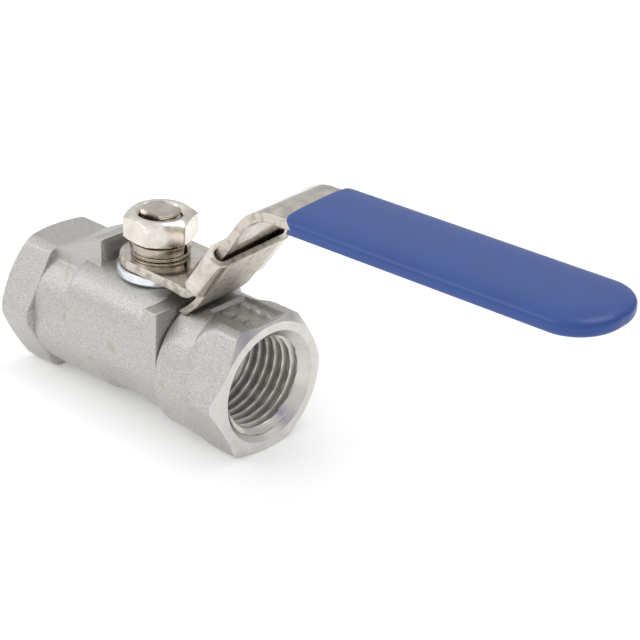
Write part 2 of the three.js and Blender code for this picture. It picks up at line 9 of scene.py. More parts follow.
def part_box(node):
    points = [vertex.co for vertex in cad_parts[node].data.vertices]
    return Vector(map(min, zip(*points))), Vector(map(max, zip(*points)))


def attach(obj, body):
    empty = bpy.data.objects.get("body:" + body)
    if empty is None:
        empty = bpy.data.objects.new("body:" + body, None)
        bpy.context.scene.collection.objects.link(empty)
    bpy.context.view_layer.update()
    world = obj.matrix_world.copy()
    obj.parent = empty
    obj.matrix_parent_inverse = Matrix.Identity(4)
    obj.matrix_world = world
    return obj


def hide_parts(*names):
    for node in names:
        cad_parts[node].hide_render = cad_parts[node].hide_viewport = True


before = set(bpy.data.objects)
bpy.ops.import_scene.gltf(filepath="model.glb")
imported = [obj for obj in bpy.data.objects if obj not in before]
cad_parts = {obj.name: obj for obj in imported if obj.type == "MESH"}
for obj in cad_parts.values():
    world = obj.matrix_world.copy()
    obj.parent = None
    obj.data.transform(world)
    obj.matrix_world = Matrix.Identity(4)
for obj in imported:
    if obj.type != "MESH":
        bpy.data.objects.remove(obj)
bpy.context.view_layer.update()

# A small one-piece ball valve: a cast stainless body with G 1/4 ports, a stamped lever and a blue sleeve.
# Lengths are in millimetres until a mesh is made. X is the pipe axis and Z the stem axis. A (start, end) pair
# is the stretch over which a shape changes.
MM = 0.001


def corners_of(node):
    """Lowest and highest corner of a CAD node, in millimetres."""
    low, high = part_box(node)
    return np.array(low) / MM, np.array(high) / MM


body_low, body_high = corners_of("body")
lever_low, lever_high = corners_of("lever")
sleeve_low, sleeve_high = corners_of("lever_sleeve")
stem_low, stem_high = corners_of("stem")
nut_low, nut_high = corners_of("stem_nut")
gland_low, gland_high = corners_of("gland_ring")
split_low, split_high = corners_of("spring_washer")
flat_low, flat_high = corners_of("flat_washer")
insert_low, insert_high = corners_of("seat_retainer")

# ---- body --------------------------------------------------------------------------------------
FAR_END, NEAR_END = body_low[0], body_high[0]
HEX_APOTHEM = -body_low[2]  # the body rests on its hexagons
HEX_CORNER_RADIUS = 9.47
END_FACE_RADIUS = 8.3
END_CHAMFER = 0.75
FAR_HEX_START = -14.5
BARREL_RADIUS = 8.4
COLLAR_RADIUS = 8.95
COLLAR_START = 8.35
COLLAR_FLARE, FLARE_SLOPE = 12.8, 0.26  # from here the collar widens towards the hexagon's corners
FLATS_START, RUN_OUT_SLOPE = 14.2, 0.25  # the near hexagon's flats run out behind this place
WAIST_RADIUS, WAIST_IN, WAIST_OUT = 7.8, (-3.4, -1.4), (3.3, 4.1)  # the underside narrows and widens again
NEAR_STEP, NEAR_STEP_PLACE = 0.25, (3.2, 4.4)  # past the waist the underside is this much smaller
SIDE = 8.5
PLATFORM_TOP, PLATFORM_ROUNDING, PLATFORM_UNDERSIDE = 8.95, 5.2, 7.6
RIB_START, RIB_END, RIB_TOP, RIB_UNDERCUT = 5.8, 8.1, 8.45, 0.45
LUG_FACE, LUG_BACK = -5.9, -7.6
LUG_TOP = body_high[2]
LUG_HALF_WIDTH, LUG_DROP = 4.5, 0.35  # the lug's top falls by the drop between its face and its back
RAMP_END, RAMP_LOW = -14.6, 8.5  # the lug's sloping back runs flush into the far hexagon's top flat
SWEEP_RADIUS, SWEEP_FLOOR, SWEEP_WALL = 11.35, 7.85, 0.15  # recess that the tongue sweeps over
PANEL_CENTRE, PANEL_LENGTH, PANEL_WIDTH, PANEL_DEPTH = 14.9, 6.6, 6.4, 0.45
PANEL_WALL = 0.25
PAD_PLACES, PAD_ROWS, PAD_HEIGHT = (-1.9, 0, 1.9), (-1.5, 1.5), 0.32  # pads, from the panel's middle
NEAR_FILLET, FAR_FILLET, PLATFORM_FILLET, RIB_FILLET = 0.22, 0.15, 0.3, 0.25
LUG_EDGE, LUG_FILLET = 0.06, 0.46  # blend on the lug's top, and at the foot of its sides
WALL_SLOPE = 30.0  # millimetres of radius in one millimetre of length: a wall that is nearly square

THREAD_PITCH = 25.4 / 19  # G 1/4
THREAD_MINOR = 11.445 / 2
THREAD_MAJOR = 13.157 / 2
MOUTH_RADIUS = 7.2
PORT_DEPTH = 10.6
FAR_PORT_FLOOR = -6.4
FIRST_ROW = 0.06  # a port's first ring of points, this far inside the end face
WATERWAY = 2.5
CHAMBER_RADIUS = 5.05
CHAMBER_HALF = 5.5
CAST, TURNED, TAPPED = range(3)  # the body's materials

# ---- stem and its fasteners ----------------------------------------------------------------------
STEM_RADIUS, STEM_PITCH = 2.5, 0.8  # M5
STEM_BORE = 2.62  # in the washers, the nut and the gland ring

# ---- lever -------------------------------------------------------------------------------------
SHEET = 1.2
HUB_TOP = flat_low[2] - 0.06
HALF_WIDTH = 5.1
TAIL_CENTRE = lever_low[0] + HALF_WIDTH
TIP_ROUNDING = 4.6
INCLINE_START, GRIP_START, GRIP_TOP = 9.7, 19.9, 25.5
GRIP_RISE = math.radians(2)
GRIP_SKEW, SKEW_PLACE = math.radians(3.3), (7, 9.5)
LEVER_END = lever_high[0]
INCLINE = math.atan2(GRIP_TOP - HUB_TOP, GRIP_START - INCLINE_START)
FIRST_BEND, SECOND_BEND = 1.9, 7.0  # radii of the upper face at the two bends

STOP_SHEET = 0.8  # the stop plate, wrapped round the incline
STOP_MIDDLE, STOP_BEND = 0.675, 1.225  # depth of its side bends' axis below the incline, and their radius
STOP_SIDE, STOP_SEAM = 4.75, 0.4
STOP_START, STOP_END = 1.7, 8.4  # distances along the incline
TONGUE_SIDES = (-4.9, 3.9)
TONGUE_BEND, TONGUE_LEAN, TONGUE_FOOT = -0.4, math.radians(12), 8.05

SLEEVE_TIP_ROUNDING, SLEEVE_MOUTH_ROUNDING = 5.35, 1.3
SLEEVE_POWER = 3.4  # of the superellipse that is its section; 2 is an ellipse


# ---- numbers -----------------------------------------------------------------------------------
def smoothstep(value, start, end):
    """0 before start, 1 after end, and 3t^2 - 2t^3 between them."""
    t = np.clip((value - start) / (end - start), 0, 1)
    return t * t * (3 - 2 * t)


def soft_max(a, b, blend):
    """The larger of a and b, with a fillet about as wide as blend where they are equal."""
    near = np.clip(blend - np.abs(a - b), 0, None) / blend
    return np.maximum(a, b) + near**2 * blend / 4


def soft_min(a, b, blend):
    """The smaller of a and b, with a rounding about as wide as blend where they are equal."""
    return -soft_max(-a, -b, blend)


def fall(x, start, end, rounding):
    """How far a boss from start to end has fallen at x: a quarter circle inside each edge, then a wall."""
    past = np.maximum(np.maximum(start + rounding - x, x - end + rounding), 0)
    curve = rounding - np.sqrt(np.clip(rounding**2 - past**2, 0, None))
    return curve + WALL_SLOPE * np.clip(past - rounding, 0, None)


def dense_near(places, start, end, step, reach):
    """Numbers from start to end, a step apart, with closer ones on both sides of each of the places."""
    fine = reach * np.array([-1, -0.55, -0.25, -0.08, 0.08, 0.25, 0.55, 1])
    extra = [place + fine for place in places]
    rows = np.concatenate([np.arange(start, end, step), [end], *extra])
    return np.unique(np.round(rows[(rows >= start) & (rows <= end)], 3))


def angles_near(places, count, width):
    """Angles round a full turn, more of them within a Gaussian of that width about each place."""
    fine = np.linspace(0, 2 * math.pi, 4001)
    weight = np.ones_like(fine)
    for place in places:
        apart = np.angle(np.exp(1j * (fine - place)))
        weight += 2.5 * np.exp(-((apart / width) ** 2))
    total = np.concatenate([[0], np.cumsum((weight[1:] + weight[:-1]) / 2)])
    return np.interp(np.arange(count) / count * total[-1], total, fine)


def rounded(points, radius, steps=4):
    """A closed outline whose corners are replaced by curves that start and end at radius from them."""
    points = np.asarray(points, float)
    t = np.linspace(0, 1, steps + 1)[:, None]
    curves = []
    for before, corner, after in zip(np.roll(points, 1, 0), points, np.roll(points, -1, 0)):
        arm_in = (before - corner) / np.linalg.norm(before - corner)
        arm_out = (after - corner) / np.linalg.norm(after - corner)
        reach = min(radius, np.linalg.norm(before - corner) / 2, np.linalg.norm(after - corner) / 2)
        start, end = corner + reach * arm_in, corner + reach * arm_out
        curves.append((1 - t) ** 2 * start + 2 * t * (1 - t) * corner + t**2 * end)
    return np.concatenate(curves)


# ---- meshes ------------------------------------------------------------------------------------
def grid_quads(rows, columns, ring_rows, ring_columns):
    """Quads between the neighbours of a grid; in a ring direction the last line joins the first."""
    i = np.arange(rows if ring_rows else rows - 1)[:, None]
    j = np.arange(columns if ring_columns else columns - 1)[None, :]
    i_next, j_next = (i + 1) % rows, (j + 1) % columns
    quad = [i * columns + j, i_next * columns + j, i_next * columns + j_next, i * columns + j_next]
    return np.stack(np.broadcast_arrays(*quad), axis=-1).reshape(-1, 4)


def volume_of(points, quads):
    """Six times the signed volume inside the quads, each taken as two triangles."""
    a, b, c, d = (points[quads[:, k]] for k in range(4))
    return np.einsum("ij,ij->", a, np.cross(b, c)) + np.einsum("ij,ij->", a, np.cross(c, d))


def grid_mesh(name, grids):
    """One mesh from closed grids of points; a grid whose faces point inwards is turned round."""
    all_points, all_quads, all_marks, offset = [], [], [], 0
    for points, ring_rows, ring_columns, marks in grids:
        rows, columns = points.shape[:2]
        quads = grid_quads(rows, columns, ring_rows, ring_columns)
        flat = points.reshape(-1, 3)
        marks = np.broadcast_to(marks, (rows, columns))
        marks = marks[:rows if ring_rows else rows - 1, :columns if ring_columns else columns - 1]
        if volume_of(flat, quads) < 0:
            quads = quads[:, ::-1]
        all_points.append(flat)
        all_quads.append(quads + offset)
        all_marks.append(marks.reshape(-1))
        offset += len(flat)
    mesh = bpy.data.meshes.new(name)
    mesh.from_pydata((np.concatenate(all_points) * MM).tolist(), [], np.concatenate(all_quads).tolist())
    mesh.polygons.foreach_set("material_index", np.concatenate(all_marks).astype(np.int32))
    return mesh


def merge_doubles(mesh):
    """Joins the points that a grid has more than once at its poles, and drops the faces left without area."""
    work = bmesh.new()
    work.from_mesh(mesh)
    bmesh.ops.remove_doubles(work, verts=work.verts, dist=2e-6)
    bmesh.ops.dissolve_degenerate(work, edges=work.edges, dist=1e-7)
    work.to_mesh(mesh)
    work.free()


def make_piece(name, grids, body, materials, replaces, sharp=40, merge=True):
    """One object from grids of points; edges sharper than the angle sharp, in degrees, stay crisp.

    A grid is (points, ring_rows, ring_columns, marks), with points of (rows, columns, 3). A ring flag joins
    the last line in that direction to the first. Marks are the material number of each quad, or one that
    holds for whole rows or columns.
    """
    mesh = grid_mesh(name, grids)
    for material in materials:
        mesh.materials.append(material)
    if merge:
        merge_doubles(mesh)
    mesh.shade_smooth()
    mesh.set_sharp_from_angle(angle=math.radians(sharp))
    piece = bpy.data.objects.new(name, mesh)
    bpy.context.scene.collection.objects.link(piece)
    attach(piece, body)
    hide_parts(*replaces)


def closed_ends(points):
    """The grid with one more row at each end, gathered at the middle of the end row."""
    first = np.broadcast_to(points[:1].mean(axis=1, keepdims=True), points[:1].shape)
    last = np.broadcast_to(points[-1:].mean(axis=1, keepdims=True), points[-1:].shape)
    return np.concatenate([first, points, last])


def about_pipe(x, radius, angle):
    """Points at polar radius and angle round the X axis; angle 0 is +Y and 90 degrees is +Z."""
    x, radius, angle = np.broadcast_arrays(x, radius, angle)
    return np.stack([x, radius * np.cos(angle), radius * np.sin(angle)], axis=-1)


def about_stem(z, radius, angle):
    """Points at polar radius and angle round the Z axis; angle 0 is +X and 90 degrees is +Y."""
    z, radius, angle = np.broadcast_arrays(z, radius, angle)
    return np.stack([radius * np.cos(angle), radius * np.sin(angle), z], axis=-1)


def hexagon_radius(angle, apothem, turn):
    """Polar radius of a hexagon with a corner at the angle turn."""
    return apothem / np.cos(np.mod(angle - turn, math.pi / 3) - math.pi / 6)


def thread_radius(x, angle):
    """G 1/4 internal thread: a right-hand helix of straight flanks with short flat crests and roots."""
    turn = np.mod(x / THREAD_PITCH - angle / (2 * math.pi), 1)
    flank = np.clip((np.abs(2 * turn - 1) - 0.17) / 0.66, 0, 1)
    return THREAD_MINOR + (THREAD_MAJOR - THREAD_MINOR) * soft_min(soft_max(flank, 0, 0.12), 1, 0.12)


def rounded_box_radius(cosine, sine, half_width, top, rounding):
    """Polar radius of a box with round top corners: side, corner circle or top, whichever the ray meets."""
    side = half_width / np.maximum(np.abs(cosine), 1e-6)
    roof = top / np.maximum(sine, 1e-6)
    centre_y, centre_z = half_width - rounding, top - rounding
    along = np.abs(cosine) * centre_y + sine * centre_z
    inside = along**2 - centre_y**2 - centre_z**2 + rounding**2
    circle = along + np.sqrt(np.clip(inside, 0, None))
    on_side = side * sine <= centre_z
    on_roof = roof * np.abs(cosine) <= centre_y
    return np.where(on_side, side, np.where(on_roof & (sine > 0), roof, circle))


def near_end_radius(x, angle, levelled):
    """Near hexagon and collar: a turned shape that widens towards the end, cut by six flats.

    The flats run out backwards, where they rise above the collar.
    """
    turned = COLLAR_RADIUS + FLARE_SLOPE * np.clip(x - COLLAR_FLARE, 0, 2)
    flats = hexagon_radius(angle, HEX_APOTHEM, 0) + RUN_OUT_SLOPE * np.clip(FLATS_START - x, 0, None)
    radius = soft_min(soft_min(turned, levelled, 0.06), flats, 0.03)
    return soft_min(radius, HEX_CORNER_RADIUS, 0.08) - fall(x, COLLAR_START, NEAR_END + 1, 0.2)


def lug_radius(x, cosine, sine):
    """Tall lug: a square wall with a nearly level top, and a back that slopes down into the far hexagon."""
    fallen = LUG_TOP - LUG_DROP * smoothstep(-x, -LUG_FACE, -LUG_BACK)
    slope = np.clip((LUG_BACK - x) / (LUG_BACK - RAMP_END), 0, 1)
    height = fallen - (LUG_TOP - LUG_DROP - RAMP_LOW) * slope
    lug = rounded_box_radius(cosine, sine, LUG_HALF_WIDTH, height, 0.5)
    return np.where(sine > 0, lug, 0) - fall(x, RAMP_END - 1, LUG_FACE, 0.3)


def rib_radius(x, cosine, sine):
    """Stop rib: square on the -Y side, round about the stem on the other, with a level top."""
    round_side = np.sqrt(np.clip(RIB_END**2 - x**2, 0.01, None))
    side = np.where(cosine < 0, SIDE, round_side) / np.maximum(np.abs(cosine), 1e-6)
    roof = RIB_TOP / np.maximum(sine, 1e-6)
    foot = SIDE - RIB_UNDERCUT * smoothstep(-sine, 0, 0.6)
    return np.where(sine > 0, soft_min(side, roof, 0.5), foot) - fall(x, RIB_START, RIB_END, 0.22)


def barrel_radius(x, sine):
    """Barrel round the waterway: a cylinder whose underside has a waist, and a small step past the waist."""
    under = smoothstep(-sine, -0.2, 0.5)
    waist = smoothstep(x, *WAIST_IN) * (1 - smoothstep(x, *WAIST_OUT))
    near_step = NEAR_STEP * smoothstep(x, *NEAR_STEP_PLACE)
    return BARREL_RADIUS - under * ((BARREL_RADIUS - WAIST_RADIUS) * waist + near_step)


def far_end_radius(x, angle):
    """Far hexagon with turned corners, from the far end to a square shoulder."""
    hexagon = soft_min(hexagon_radius(angle, HEX_APOTHEM, 0), HEX_CORNER_RADIUS, 0.12)
    return hexagon - fall(x, FAR_END - 1, FAR_HEX_START, 0.2)


def platform_radius(x, cosine, sine):
    """Platform under the lever's hub: a box with round shoulders, drawn in a little underneath."""
    box = rounded_box_radius(cosine, sine, SIDE, PLATFORM_TOP, PLATFORM_ROUNDING)
    underside = SIDE - (SIDE - PLATFORM_UNDERSIDE) * smoothstep(-sine, 0, 0.7)
    return np.where(sine > 0, box, underside) - fall(x, LUG_FACE - 2.5, RIB_START + 0.3, 0.3)


def recessed(radius, x, across, sine):
    """The radius lowered to a floor in the part of a ring about the stem that the tongue sweeps over."""
    from_stem = np.hypot(x, across)
    inner = smoothstep(from_stem, RIB_END, RIB_END + SWEEP_WALL)
    outer = smoothstep(from_stem, SWEEP_RADIUS - SWEEP_WALL, SWEEP_RADIUS)
    on_top = (x > RIB_END - 0.1) * (across > -HALF_WIDTH - 1) * (sine > 0.5)
    lowered = np.minimum(radius, SWEEP_FLOOR / np.maximum(sine, 0.3))
    return radius + (lowered - radius) * inner * (1 - outer) * on_top


def casting_radius(x, angle):
    """Polar radius of the cast body at x and angle.

    The largest of the barrel, both ends, the platform, the rib and the lug, each falling away outside its own
    stretch of the pipe; the panel and the tongue's recess are cut into that.
    """
    cosine, sine = np.cos(angle), np.sin(angle)
    levelled = HEX_APOTHEM / np.maximum(np.abs(sine), 1e-6)
    radius = soft_max(barrel_radius(x, sine), near_end_radius(x, angle, levelled), NEAR_FILLET)
    radius = soft_max(radius, far_end_radius(x, angle), FAR_FILLET)
    radius = soft_max(radius, platform_radius(x, cosine, sine), PLATFORM_FILLET)
    radius = soft_max(radius, rib_radius(x, cosine, sine), RIB_FILLET)
    lug = lug_radius(x, cosine, sine)
    at_side = smoothstep(np.abs(lug * cosine), LUG_HALF_WIDTH - 0.3, LUG_HALF_WIDTH + 0.2)
    radius = soft_max(radius, lug, LUG_EDGE + (LUG_FILLET - LUG_EDGE) * at_side)

    across = PLATFORM_TOP * cosine / np.maximum(sine, 1e-6)
    radius = recessed(radius, x, across, sine)
    return soft_min(radius, end_cone(x), 0.1) - panel_depth(x, across, sine) / np.maximum(sine, 0.5)


def end_cone(x):
    """Radius of the chamfers turned on both ends."""
    from_end = np.minimum(NEAR_END - x, x - FAR_END)
    return END_FACE_RADIUS + (HEX_CORNER_RADIUS - END_FACE_RADIUS) / END_CHAMFER * from_end


def panel_depth(x, across, sine):
    """Depth of the sunk panel on the near hexagon: a rectangle with sloping walls and six low round pads."""
    along = x - PANEL_CENTRE
    inside_x = 1 - smoothstep(np.abs(along), PANEL_LENGTH / 2 - PANEL_WALL, PANEL_LENGTH / 2)
    inside_y = 1 - smoothstep(np.abs(across), PANEL_WIDTH / 2 - PANEL_WALL, PANEL_WIDTH / 2)
    depth = PANEL_DEPTH * inside_x * inside_y
    for pad_x in PAD_PLACES:
        for pad_y in PAD_ROWS:
            away = np.hypot(along - pad_x, across - pad_y)
            depth = depth - PAD_HEIGHT * (1 - smoothstep(away, 0.5, 0.8))
    return np.where(sine > 0.5, np.clip(depth, 0, None), 0)


def body_angles():
    """Angles round the pipe, closer together at the edges of the lug, the panel, the rib and the hexagons."""
    edges = [math.atan2(LUG_TOP, side * LUG_HALF_WIDTH) for side in (1, -1)]
    edges += [math.atan2(HEX_APOTHEM, side * PANEL_WIDTH / 2) for side in (1, -1)]
    edges += [math.atan2(RIB_TOP, -SIDE)]
    edges += [k * math.pi / 3 for k in range(6)]
    return angles_near(edges, 276, math.radians(3))[None, :]


def body_places():
    """Places along the pipe, closer together at every wall and on the chamfers of both ends."""
    walls = [FAR_HEX_START, LUG_FACE, LUG_BACK, RIB_START, RIB_END, COLLAR_START, COLLAR_FLARE, SWEEP_RADIUS]
    walls += [PANEL_CENTRE - PANEL_LENGTH / 2 + 0.12, PANEL_CENTRE + PANEL_LENGTH / 2 - 0.12]
    across_chamfer = np.arange(1, 9) / 8 * END_CHAMFER
    ends = [*(FAR_END + across_chamfer), *(NEAR_END - across_chamfer)]
    return dense_near(walls + ends, FAR_END, NEAR_END, 0.42, 0.3)[:, None]


def end_face(end, angle):
    """Turned end face, from the casting's rim in to the port's mouth."""
    rim = casting_radius(np.array([[end]]), angle)
    share = np.array([0.1, 0.3, 0.5, 0.7, 0.9, 1.0])[:, None]
    return about_pipe(end, rim + (MOUTH_RADIUS - rim) * share, angle)


def port(end, depth, rows_in_pitch, angle):
    """Tapped port: a thread that fades out over its last turn, opened by a 45 degree countersink."""
    along = np.arange(FIRST_ROW, depth, THREAD_PITCH / rows_in_pitch)[:, None]
    place = end - np.sign(end) * along
    fade = 1 - smoothstep(along, depth - THREAD_PITCH, depth)
    thread = THREAD_MINOR + (thread_radius(place, angle) - THREAD_MINOR) * fade
    return about_pipe(place, np.maximum(thread, MOUTH_RADIUS - along), angle)


def passage(angle):
    """From the near port's floor through the waterway and the ball's chamber to the far port."""
    floor = NEAR_END - PORT_DEPTH
    profile = np.array([
        [floor, THREAD_MINOR], [floor - 0.3, THREAD_MINOR - 0.3], [floor - 0.35, WATERWAY + 0.3],
        [floor - 0.6, WATERWAY], [CHAMBER_HALF, WATERWAY], [CHAMBER_HALF, CHAMBER_RADIUS],
        [-CHAMBER_HALF, CHAMBER_RADIUS], [-CHAMBER_HALF, THREAD_MINOR], [FAR_PORT_FLOOR + 0.2, THREAD_MINOR],
    ])
    return about_pipe(profile[:, :1], profile[:, 1:], angle)


def body_piece(*materials):
    """The casting as one ring: outside, near face, near port, waterway, far port and far face."""
    angle, x = body_angles(), body_places()
    radius = casting_radius(x, angle)
    near_port = port(NEAR_END, PORT_DEPTH - 0.2, 16, angle)
    past_countersink = NEAR_END - near_port[..., 0] > MOUTH_RADIUS - THREAD_MINOR + FIRST_ROW
    parts = [
        (about_pipe(x, radius, angle), np.where(radius > end_cone(x) - 0.08, TURNED, CAST)),
        (end_face(NEAR_END, angle), TURNED),
        (near_port, np.where(past_countersink, TAPPED, TURNED)),
        (passage(angle), TURNED),
        (port(FAR_END, FAR_PORT_FLOOR - FAR_END, 6, angle)[::-1], TURNED),
        (end_face(FAR_END, angle)[::-1], TURNED),
    ]
    ring = np.concatenate([points for points, _ in parts])
    marks = np.concatenate([np.broadcast_to(mark, points.shape[:2]) for points, mark in parts])
    make_piece("cast_body", [(ring, True, True, marks)], "valve_body", materials, ["body"],
               sharp=38, merge=False)


# ---- turned and formed pieces --------------------------------------------------------------------
def turned_ring(profile):
    """A closed profile of [height, radius] points turned round the stem axis."""
    angle = np.linspace(0, 2 * math.pi, 96, endpoint=False)[None, :]
    return (about_stem(profile[:, :1], profile[:, 1:], angle), True, True, 0)


def gland_piece(steel):
    """Gland ring: a neck that presses on the packing, and a flange with a rounded rim."""
    low, high = gland_low[2], gland_high[2]
    neck, flange, shoulder = 3.78, gland_high[0], PLATFORM_TOP + 0.02
    outline = [[low, STEM_BORE], [low, neck], [shoulder, neck], [shoulder, flange], [high, flange],
               [high, STEM_BORE]]
    make_piece("polished_gland", [turned_ring(rounded(outline, 0.25))], "valve_body",
               [steel], ["gland_ring"])


def flat_washer_piece(steel):
    """Flat washer with the rounded upper rim that stamping leaves."""
    low, high, outer = flat_low[2], flat_high[2], flat_high[0]
    outline = [[low, STEM_BORE], [low, outer], [high, outer], [high, STEM_BORE]]
    make_piece("stamped_washer", [turned_ring(rounded(outline, 0.12))], "lever_and_stem",
               [steel], ["flat_washer"])


def spring_washer_piece(steel):
    """Split spring washer: a rounded rectangle carried round most of a turn, rising a little on the way.

    Its two end faces are slanted.
    """
    low, high = split_low[2], split_high[2]
    inner, outer = 2.7, 0.05 - split_low[0]
    section = rounded([[low, inner], [low, outer], [high, outer], [high, inner]], 0.16)
    gap_centre, half_gap = math.radians(11), math.radians(5)
    turn = np.linspace(gap_centre + half_gap, gap_centre + 2 * math.pi - half_gap, 110)[:, None]
    from_back = turn - turn.mean()
    rise = 0.05 * from_back / math.pi
    slant = 0.06 * np.sign(from_back) * (section[:, 0] - section[:, 0].mean())[None, :]
    slant = slant * (np.abs(from_back) > from_back.max() - 0.02)
    shell = about_stem(section[None, :, 0] + rise, section[None, :, 1], turn + slant)
    make_piece("split_washer", [(closed_ends(shell), False, True, 0)],
               "lever_and_stem", [steel], ["spring_washer"])


def nut_piece(steel):
    """Hexagon nut: a hexagon cut by 30 degree chamfer cones, with a countersunk bore."""
    low, high = nut_low[2], nut_high[2]
    apothem, corner, turn, face = 4.06, 4.64, math.radians(-4.5), 3.7
    angle = angles_near([turn + k * math.pi / 3 for k in range(6)], 240, math.radians(4))[None, :]
    height = dense_near([low + 0.35, high - 0.35], low, high, 0.3, 0.3)[:, None]
    cone = face + math.sqrt(3) * np.minimum(high - height, (height - low) * 1.3 + 0.12)
    hexagon = soft_min(hexagon_radius(angle, apothem, turn), corner, 0.1)
    outside = about_stem(height, soft_min(hexagon, cone, 0.06), angle)
    inner = np.array([[high, 3.4], [high, 3.12], [high - 0.04, 3.04], [high - 0.45, STEM_BORE],
                      [low + 0.3, STEM_BORE], [low, 2.9], [low, 3.3]])
    inside = about_stem(inner[:, :1], inner[:, 1:], angle)
    make_piece("bright_nut", [(np.concatenate([outside, inside]), True, True, 0)], "lever_and_stem",
               [steel], ["stem_nut"], sharp=28, merge=False)


def stem_piece(steel):
    """Stem: a turned shaft with an M5 thread, two flats at the top and a drive tongue across its foot."""
    low, high = stem_low[2], stem_high[2]
    shoulder, flats, drive, thread_depth = 3.3, 1.8, 0.8, 0.4
    drive_top, shoulder_top, flats_start, thread_full = 4.75, 5.1, HUB_TOP - SHEET - 0.06, 13.2
    angle = angles_near([k * math.pi / 2 + d for k in (1, 3) for d in (-0.77, 0.77)], 160, 0.12)[None, :]
    z = dense_near([drive_top, shoulder_top, flats_start], low, high, 0.1, 0.06)[:, None]
    turn = np.mod(z / STEM_PITCH - angle / (2 * math.pi), 1)
    groove = thread_depth * smoothstep(1 - np.abs(2 * turn - 1), 0.05, 0.95)
    threaded = smoothstep(z, flats_start + 1.3, thread_full) * (1 - smoothstep(z, high - 0.5, high - 0.35))
    shaft = STEM_RADIUS - groove * threaded
    shaft = np.minimum(shaft, STEM_RADIUS - 0.15 + np.clip(high - z, 0, 0.15))
    shaft = np.where(z < shoulder_top, shoulder, shaft)
    flat = flats / np.maximum(np.abs(np.sin(angle)), 1e-6)
    tongue = drive / np.maximum(np.abs(np.cos(angle)), 1e-6)
    shaft = np.where(z > flats_start, soft_min(shaft, flat, 0.08), shaft)
    shaft = np.where(z < drive_top, np.minimum(shaft, tongue), shaft)
    outside = about_stem(z, shaft, angle)
    bottom = about_stem(low, 0 * angle, angle)
    crown = about_stem(high, shaft[-1:] * np.array([[0.75], [0.4], [0]]), angle)
    make_piece("threaded_stem", [(np.concatenate([bottom, outside, crown]), False, True, 0)],
               "lever_and_stem", [steel], ["stem"], sharp=30)


def insert_piece(steel):
    """Screwed insert that holds the far seat: a threaded ring with a hexagon socket."""
    angle = np.linspace(0, 2 * math.pi, 144, endpoint=False)[None, :]
    start, end, outer = insert_low[0], insert_high[0], insert_high[1]
    groove_depth, socket_apothem = 0.25, 3.0
    x = np.linspace(start + 0.3, end - 0.3, 36)[:, None]
    turn = np.mod(x / THREAD_PITCH - angle / (2 * math.pi), 1)
    grooves = groove_depth * smoothstep(np.abs(2 * turn - 1), 0.1, 0.9)
    outside = about_pipe(x, outer - grooves, angle)
    far_rim = about_pipe(np.array([[end], [end]]), np.array([[outer - 0.3], [WATERWAY + 0.3]]), angle)
    bore = about_pipe(np.array([[end - 0.3], [start + 2.1]]), WATERWAY, angle)
    socket = hexagon_radius(angle, socket_apothem, 0)
    key = about_pipe(np.array([[start + 2.0], [start + 0.2]]), socket, angle)
    lip = about_pipe(start, np.concatenate([socket + 0.2, 0 * socket + outer - 0.3]), angle)
    ring = np.concatenate([outside, far_rim, bore, key, lip])
    make_piece("seat_insert", [(ring, True, True, 0)], "valve_body", [steel],
               ["seat_retainer"], sharp=35, merge=False)


# ---- sheet lever -----------------------------------------------------------------------------------
def skewed(points):
    """Beyond the first bend the sheet is sheared upwards on its +Y side."""
    share = smoothstep(points[..., 0], *SKEW_PLACE)
    lift = share * points[..., 1] * math.tan(GRIP_SKEW)
    return points + np.stack([0 * lift, 0 * lift, lift], axis=-1)


def fine_path():
    """Distance, place and heading along the upper face of the sheet in side view, in very short steps.

    The heading is level, then the incline's, then the grip's. It changes evenly on the arc of each bend.
    """
    first, second = INCLINE, INCLINE - GRIP_RISE
    first_reach, second_reach = FIRST_BEND * math.tan(first / 2), SECOND_BEND * math.tan(second / 2)
    slope_length = math.hypot(GRIP_START - INCLINE_START, GRIP_TOP - HUB_TOP)
    bend_1 = INCLINE_START - first_reach
    bend_2 = bend_1 + FIRST_BEND * first + slope_length - first_reach - second_reach
    distance = np.linspace(lever_low[0], LEVER_END + 12, 6000)
    heading = first * np.clip((distance - bend_1) / (FIRST_BEND * first), 0, 1)
    heading = heading - second * np.clip((distance - bend_2) / (SECOND_BEND * second), 0, 1)
    step = distance[1] - distance[0]
    middle = (heading[1:] + heading[:-1]) / 2
    x = lever_low[0] + np.concatenate([[0], np.cumsum(np.cos(middle)) * step])
    z = HUB_TOP + np.concatenate([[0], np.cumsum(np.sin(middle)) * step])
    return distance, x, z, heading


def sheet_edge(radius, thickness, steps=5):
    """Edge of a sheet, from its lower face to its upper: inset from the outline, and depth below the top."""
    t = np.linspace(0, math.pi / 2, steps)
    lower = np.stack([radius * (1 - np.sin(t)), thickness - radius * (1 - np.cos(t))], axis=-1)
    upper = np.stack([radius * (1 - np.cos(t)), radius * (1 - np.sin(t))], axis=-1)
    return np.concatenate([lower, upper])


